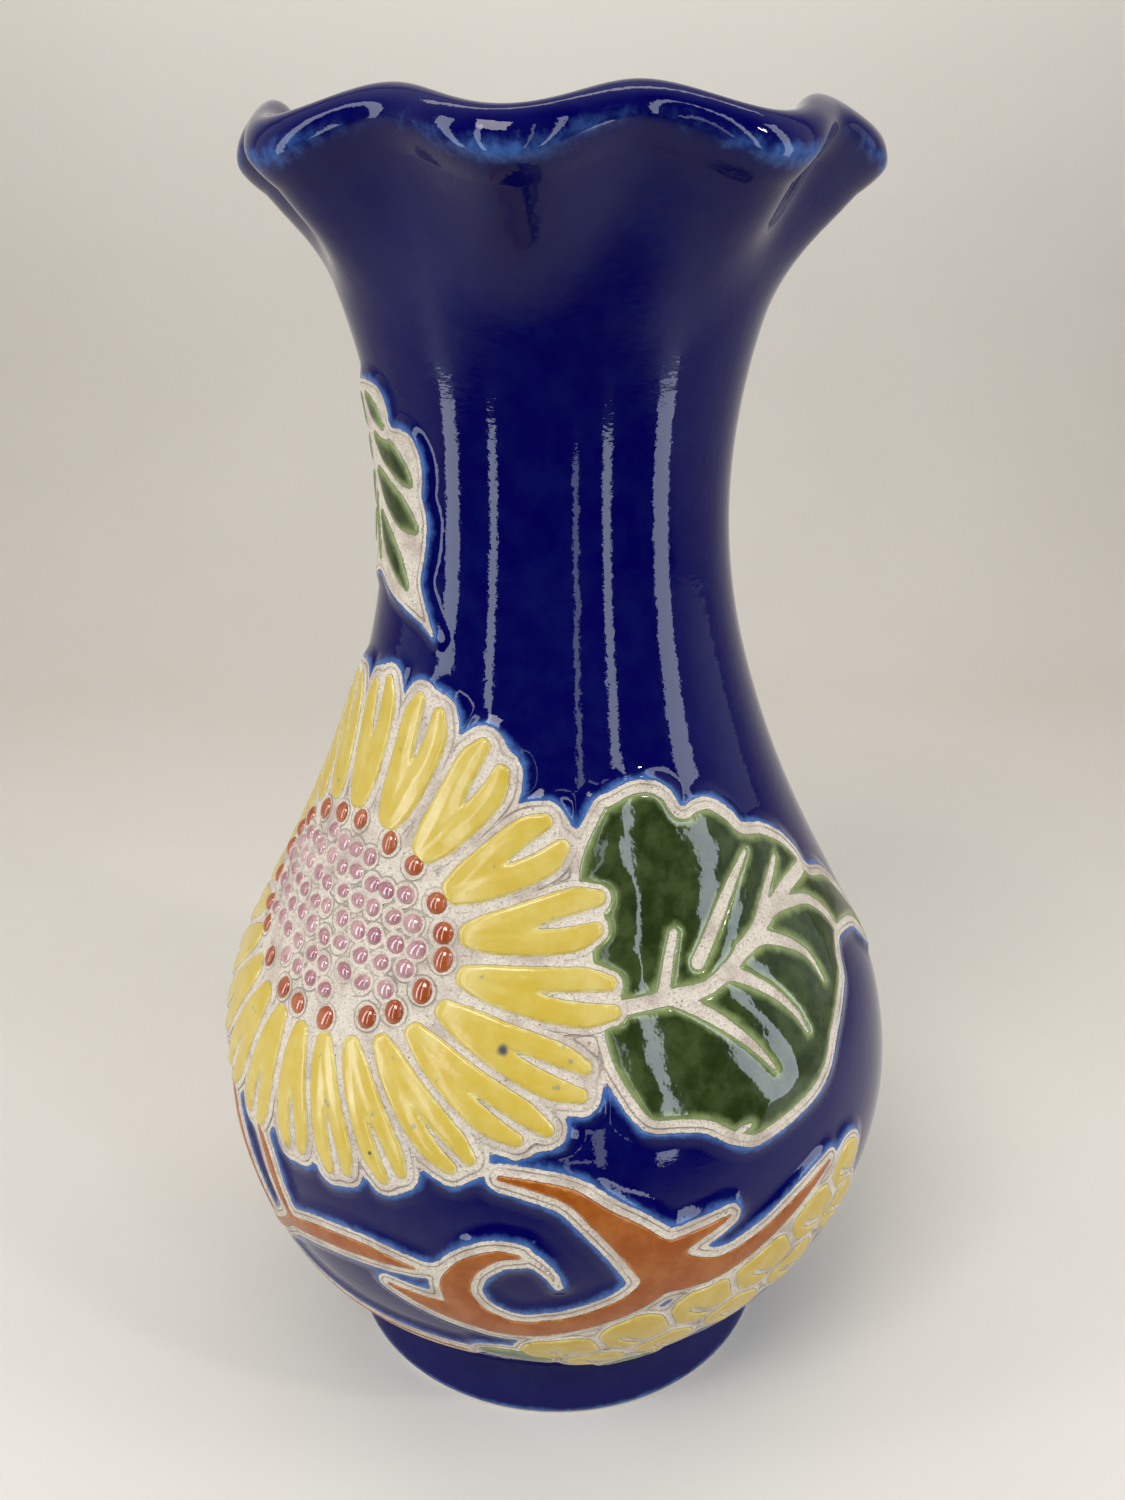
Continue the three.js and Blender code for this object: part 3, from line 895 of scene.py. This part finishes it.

# %% [markdown]
# ## Sandy clay
# The bare clay is pale and coarse. Sand shows as dark and light grains and as pits, and smoke stains
# it in soft patches. Every needle line is darkened as painted shade in its groove. The line itself is
# only a distance, stored with the mesh as crease, and zero on the line, so it stays fine and sharp.

# %% Sandy clay
CLAY_PALE = rgb(203, 191, 173)
CLAY_DARK = rgb(150, 132, 118)
GRIT_AND_GROOVE_SHADE = rgb(92, 74, 66)
clay_group, wires, given, result = new_group(
    "Sandy clay", {"Crease": 9.0, "Pale": CLAY_PALE, "Dark": CLAY_DARK}, ["Colour", "Height"])
stain = wires.between(wires.noise(150, 4.0, 0.6), 0.42, 0.68)
sand = wires.noise(2200, 3.0, 0.7)
colour = wires.mix(wires.math("MULTIPLY", stain, 0.6), given["Pale"], given["Dark"])
colour = wires.mix(wires.between(sand, 0.50, 0.66, 0, 0.75), colour, given["Dark"])
grit = wires.grains(1100)
speck = wires.between(grit.outputs["Distance"], 0.08, 0.24, 1.0, 0.0)
rare = wires.between(wires.noise(240, 2.0), 0.52, 0.62)
speck = wires.math("MULTIPLY", speck, rare)
colour = wires.mix(wires.math("MULTIPLY", speck, 0.85), colour, GRIT_AND_GROOVE_SHADE)
# Painted shade: the clay is darkened along every needle line, as shade in the groove.
unsteady = wires.math("SUBTRACT", wires.noise(300, 3.0), 0.5)
crease = wires.math("MULTIPLY_ADD", unsteady, 0.3, given["Crease"])
line = wires.between(wires.math("ABSOLUTE", crease), 0.04, 0.22, 1.0, 0.0)
line = wires.math("MULTIPLY", line, wires.between(wires.noise(90, 2.0), 0.35, 0.6, 0.35, 1.0))
colour = wires.mix(wires.math("MULTIPLY", line, 0.5), colour, GRIT_AND_GROOVE_SHADE)
wires.feed(result["Colour"], colour)
height = wires.math("MULTIPLY", sand, 0.34)
height = wires.math("MULTIPLY_ADD", wires.noise(520, 4.0, 0.6), 0.42, height)
height = wires.math("MULTIPLY_ADD", speck, -0.12, height)
wires.feed(result["Height"], wires.math("MULTIPLY_ADD", line, -0.22, height))
print("group:", clay_group.name)

# %% [markdown]
# ## Glaze over clay
# Cover is how far a point lies inside the glazed cell, in mm. The melt draws back from its edge,
# so the colour is thin and pale there and deep further in, and the edge itself is a little
# ragged. Pigment gathers in small clouds and flecks. In the kiln two drops of cobalt fell on the
# yellow petals, and they stay there as dark spots.

# %% Glaze that thins towards its edge
glaze_group, wires, given, result = new_group("Glaze over clay", {
    "Cover": 3.0, "Deep": rgb(20, 24, 90), "Thin": rgb(120, 150, 200), "Thin width": 1.0,
    "Ragged": 0.2, "Fleck": rgb(40, 50, 50), "Flecks": 0.0, "Clouds": 0.3,
}, ["Colour", "Mask", "Height"])
wobble = wires.math("SUBTRACT", wires.noise(760, 3.0, 0.6), 0.5)
cover = wires.math("MULTIPLY_ADD", wires.math("MULTIPLY", wobble, 2.0), given["Ragged"], given["Cover"])
mask = wires.between(cover, -0.07, 0.09)
mottle = wires.math("MULTIPLY_ADD", wires.math("SUBTRACT", wires.noise(330, 5.0, 0.65), 0.5), 2.2, cover)
depth = wires.between(mottle, -0.2, given["Thin width"])
cloud = wires.between(wires.noise(190, 4.0, 0.6), 0.35, 0.7)
clear = wires.math("SUBTRACT", 1.0, wires.math("MULTIPLY", cloud, given["Clouds"]))
depth = wires.math("MULTIPLY", depth, clear)
colour = wires.mix(depth, given["Thin"], given["Deep"])
spot = wires.between(wires.grains(430).outputs["Distance"], 0.10, 0.30, 1.0, 0.0)
spot = wires.math("MULTIPLY", spot, wires.between(wires.noise(300, 1.0), 0.60, 0.66))
colour = wires.mix(wires.math("MULTIPLY", spot, given["Flecks"]), colour, given["Fleck"])
wires.feed(result["Colour"], colour)
wires.feed(result["Mask"], mask)
wires.feed(result["Height"], wires.between(cover, -0.1, 0.5, 0.0, 0.14))
print("group:", glaze_group.name)


# %% A fired finish
def fired(name, deep, thin, thin_width=1.0, ragged=0.15, flecks=0.0, fleck=rgb(60, 70, 50),
          clouds=0.3, peel=1.0, rings=0.3, gloss=0.10, coat=0.0, shine=0.5, strays=()):
    """Glaze where the mesh's cover is above zero, bare clay elsewhere, and stray drops of cobalt."""
    material = bpy.data.materials.new(name)
    material.use_nodes = True
    wires = Wiring(material.node_tree)
    shader = material.node_tree.nodes["Principled BSDF"].inputs
    cover = wires.add("ShaderNodeAttribute", attribute_name="cover").outputs["Fac"]
    crease = wires.add("ShaderNodeAttribute", attribute_name="crease").outputs["Fac"]
    clay = wires.group(clay_group, Crease=crease)
    glaze = wires.group(glaze_group, Cover=cover, Deep=deep, Thin=thin, Thin_width=thin_width,
                        Ragged=ragged, Fleck=fleck, Flecks=flecks, Clouds=clouds)
    ripple = wires.group(ripple_group, Peel=peel, Rings=rings)
    mask = glaze["Mask"]
    colour = wires.mix(mask, clay["Colour"], glaze["Colour"])
    for x, y, z, radius in strays:
        centre = {0: wires.place(), 1: (x * MM, y * MM, z * MM)}
        away = wires.add("ShaderNodeVectorMath", centre, operation="DISTANCE").outputs["Value"]
        away = wires.math("MULTIPLY_ADD", wires.noise(500, 3.0), 1.2 * MM, away)
        drop = wires.between(away, radius * MM * 0.7, radius * MM * 1.25, 0.9, 0.0)
        colour = wires.mix(drop, colour, rgb(30, 44, 78))
    wires.feed(shader["Base Color"], colour)
    wires.feed(shader["Roughness"], wires.blend(mask, 0.82, gloss))
    wires.feed(shader["Coat Weight"], wires.math("MULTIPLY", mask, coat))
    shader["Coat Roughness"].default_value = 0.03
    shader["Specular IOR Level"].default_value = shine
    smooth = wires.math("ADD", glaze["Height"], ripple["Height"])
    height = wires.blend(mask, clay["Height"], smooth)
    bump = wires.add("ShaderNodeBump", {"Height": height, "Distance": MM, "Strength": 1.0})
    wires.feed(shader["Normal"], bump.outputs["Normal"])
    return material


STRAYS = [(-9.2, -61.8, 101.2, 1.7), (-32.9, -62.6, 80.4, 0.8)]  # x, y, z and radius in mm
cobalt = fired("cobalt_glaze", rgb(8, 2, 66), rgb(64, 96, 150), 1.5, 0.3, clouds=0.02,
               rings=2.2, gloss=0.04, shine=0.22)
yellow = fired("yellow_glaze", rgb(180, 153, 60), rgb(198, 184, 118), 0.55, 0.2, flecks=0.5,
               fleck=rgb(60, 100, 110), clouds=0.3, peel=5.0, gloss=0.22, shine=0.5, strays=STRAYS)
green = fired("green_glaze", rgb(34, 46, 20), rgb(122, 134, 84), 1.9, 0.2, clouds=0.15, peel=4.0,
              gloss=0.07, shine=0.36)
orange = fired("orange_glaze", rgb(132, 66, 12), rgb(178, 120, 64), 0.5, 0.15, flecks=0.4,
               fleck=rgb(84, 34, 16), clouds=0.3, gloss=0.24, shine=0.3)
ochre = fired("ochre_glaze", rgb(172, 142, 46), rgb(192, 174, 106), 0.7, 0.2, flecks=0.6,
              fleck=rgb(70, 76, 34), clouds=0.4, gloss=0.2, shine=0.4)
rust = fired("rust_glaze", rgb(136, 62, 26), rgb(182, 112, 72), 0.9, 0.1, clouds=0.4, coat=0.6,
             gloss=0.12)
mauve = fired("mauve_glaze", rgb(142, 92, 98), rgb(196, 166, 156), 1.5, 0.1, clouds=0.6, coat=0.8,
              gloss=0.08)
clay = fired("bare_clay", rgb(203, 191, 173), rgb(203, 191, 173))
print("finishes:", len(bpy.data.materials))

# %% [markdown]
# ## Numbers that the finishes read
# The skin needs a cover too. It is deep almost everywhere, thin where the melt ran off the
# rim's outer edge and off the bottom of the foot, and absent under the foot, where a glazed pot
# would stick to the kiln shelf.

# %% Cover of the skin and the drops
DEEP_COVER = 3.4           # mm
THIN_AT = 242.8            # height of the thin band under the lip, and its reach, mm
THIN_REACH = 3.8
UNGLAZED_RADIUS = 43.5     # the foot stays bare inside this radius, mm
radii_mm = np.hypot(points[:, 0], points[:, 1]) / MM
lip_edge = np.exp(-((heights_mm - THIN_AT) / THIN_REACH) ** 2) * ease(radii_mm, 46.5, 50.5)
droop = 0.5 - 0.5 * wave
skin_cover = DEEP_COVER - 2.7 * lip_edge * (0.75 + 0.25 * droop)
skin_cover = np.minimum(skin_cover, (heights_mm - 0.75) * 1.1)
skin_cover = np.where((heights_mm < 9) & (radii_mm < UNGLAZED_RADIUS), -3, skin_cover)
add_numbers(skin, "cover", skin_cover)
for piece in (beads, seeds):
    spots = vertex_array(piece.data) / MM
    lifts = np.hypot(spots[:, 0], spots[:, 1]) - np.interp(spots[:, 2], wall_heights, wall_radii)
    add_numbers(piece, "cover", (lifts - GROUND_LIFT - 0.1) * 1.6)
for piece in (skin, beads, seeds):
    add_numbers(piece, "crease", np.full(len(piece.data.vertices), 9.0))
print("skin cover:", round(float(skin_cover.min()), 2), "to", round(float(skin_cover.max()), 2), "mm")

# %% Give each piece its finish and its body, and hide the CAD nodes that it replaces
PETAL_NODES = [f"petal_{index + 1:02d}" for index in range(PETALS)]
fits = [
    (skin, cobalt, "cobalt_glaze", ["foot_ring", "belly", "neck", "rim"]),
    (ground, cobalt, "cobalt_glaze", []),
    (seed_head, clay, "bare_clay", ["seed_head"]),
    (beads, rust, "orange_glaze", []),
    (seeds, mauve, "orange_glaze", []),
    (green_right, green, "green_glaze", ["leaf_upper_right", "leaf_lower_right"]),
    (green_left, green, "green_glaze", ["leaf_upper_left", "leaf_lower_left"]),
    (neck_green, green, "green_glaze", ["neck_leaf_right", "neck_leaf_left"]),
    (trunk_right, orange, "orange_glaze", ["vine_trunk_right"]),
    (trunk_left, orange, "orange_glaze", ["vine_trunk_left"]),
    (scroll, orange, "orange_glaze", ["vine_scroll", "vine_hook"]),
    (arm, orange, "orange_glaze", ["vine_arm", "vine_stem"]),
    (fruit_right, ochre, "ochre_glaze", [f"fruit_right_{n}" for n in range(1, 7)]),
    (fruit_left, ochre, "ochre_glaze", [f"fruit_left_{n}" for n in range(1, 7)]),
    (bits_right, green, "green_glaze", []),
    (bits_left, green, "green_glaze", []),
]
fits += [(petal, yellow, "yellow_glaze", [node]) for petal, node in zip(petals, PETAL_NODES)]
for piece, finish, slot, nodes in fits:
    piece.data.materials.append(finish)
    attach(piece, "root")
    if nodes:
        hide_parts(*nodes)
total = sum(len(polygon.vertices) - 2 for fit in fits for polygon in fit[0].data.polygons)
print("pieces:", len(fits), "triangles:", total)

# %% [markdown]
# ## Floor and light
# A glossy dark pot is mostly a picture of its surroundings. Tall narrow softboxes draw the long
# upright streaks on the neck and belly, a broad one above fills the relief, and one behind the
# pot lights the wall. The floor bends up into that wall without a corner. It is pale where we
# see it and dark in front of that, because the flaring rim mirrors it. The room is bright behind
# the pot and dim on our side, for the same reason. The wall is also painted lighter higher up, as
# painted light that brightens it towards its top.

# %% Floor and wall in one sweep
FLAT = 0.4                 # how far the floor runs behind the pot before it bends up, m
BEND = 0.35
SWEEP = [(FLAT + BEND * math.sin(turn), BEND * (1 - math.cos(turn)))
         for turn in np.linspace(0, math.pi / 2, 25)]
bm = bmesh.new()
chain = [bm.verts.new((-1.6, y, z)) for y, z in [(-1.6, 0), *SWEEP, (FLAT + BEND, 1.6)]]
strip = [bm.edges.new(pair) for pair in zip(chain, chain[1:])]
raised = bmesh.ops.extrude_edge_only(bm, edges=strip)["geom"]
moved = [item for item in raised if isinstance(item, bmesh.types.BMVert)]
bmesh.ops.translate(bm, vec=(3.2, 0, 0), verts=moved)
floor_finish = bpy.data.materials.new("pale_floor")
floor_finish.use_nodes = True
wires = Wiring(floor_finish.node_tree)
shader = floor_finish.node_tree.nodes["Principled BSDF"].inputs
spot = wires.add("ShaderNodeSeparateXYZ", {"Vector": wires.place()}).outputs
pale = wires.mix(wires.noise(9, 4), rgb(196, 190, 180), rgb(204, 198, 189))
# Painted light: the sweep turns lighter from 0.12 m to 0.5 m up, so the wall brightens towards its top.
pale = wires.mix(wires.between(spot["Z"], 0.12, 0.5), pale, rgb(232, 227, 217))
wires.feed(shader["Base Color"], wires.mix(wires.between(spot["Y"], -0.32, -0.10), rgb(38, 33, 32), pale))
wires.feed(shader["Roughness"], wires.blend(wires.noise(60, 2), 0.7, 0.85))
floor = finish_mesh("floor", bm, floor_finish)
floor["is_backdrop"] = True

# %% Lights
LEVEL, POT, WALL = (0, 0, 0.32), (0, 0, 0.13), (0, 0.75, 0.6)
LAMPS = [  # name, azimuth, distance, height, width, tall, watts, aim
    ("left_window", -66, 0.48, 0.32, 0.085, 0.64, 1.5, LEVEL),
    ("left_panel", -38, 0.48, 0.32, 0.040, 0.64, 0.8, LEVEL),
    ("middle_panel", 12, 0.52, 0.32, 0.026, 0.64, 0.25, LEVEL),
    ("right_panel", 31, 0.48, 0.32, 0.042, 0.64, 0.8, LEVEL),
    ("right_window", 68, 0.48, 0.32, 0.095, 0.64, 1.5, LEVEL),
    ("high_panel", -28, 0.75, 0.95, 0.45, 0.35, 6.6, POT),
    ("spark", 52, 0.70, 0.62, 0.05, 0.05, 1.2, POT),
    ("wall_wash", 180, 0.15, 1.25, 1.4, 0.20, 5.2, WALL),
]
for name, azimuth, distance, height, width, tall, watts, aim in LAMPS:
    lamp = bpy.data.lights.new(name, "AREA")
    lamp.shape, lamp.size, lamp.size_y, lamp.energy = "RECTANGLE", width, tall, watts
    lamp.color = (0.80, 0.88, 1.0) if aim is LEVEL else (1.0, 0.97, 0.92)
    turn = math.radians(azimuth)
    holder = bpy.data.objects.new(name, lamp)
    holder.location = (distance * math.sin(turn), -distance * math.cos(turn), height)
    holder.rotation_euler = (Vector(aim) - holder.location).to_track_quat("-Z", "Y").to_euler()
    bpy.context.scene.collection.objects.link(holder)

# %% The room: bright behind and beside the pot, dim on our side
world = bpy.data.worlds.new("room")
world.use_nodes = True
wires = Wiring(world.node_tree)
direction = wires.add("ShaderNodeTexCoord").outputs["Generated"]
depth = wires.add("ShaderNodeSeparateXYZ", {"Vector": direction}).outputs["Y"]
backdrop = world.node_tree.nodes["Background"].inputs
backdrop["Color"].default_value = (0.92, 0.95, 1.0, 1)
wires.feed(backdrop["Strength"], wires.between(depth, -0.55, 0.25, 0.07, 0.72))
bpy.context.scene.world = world
bpy.context.scene.view_settings.view_transform = "Standard"
print("lights:", len(LAMPS))

# %% Sizes, and finish
boxes = {"cad": cad_box, "visual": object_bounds()}
{name: [list(corner) for corner in box] for name, box in boxes.items()}
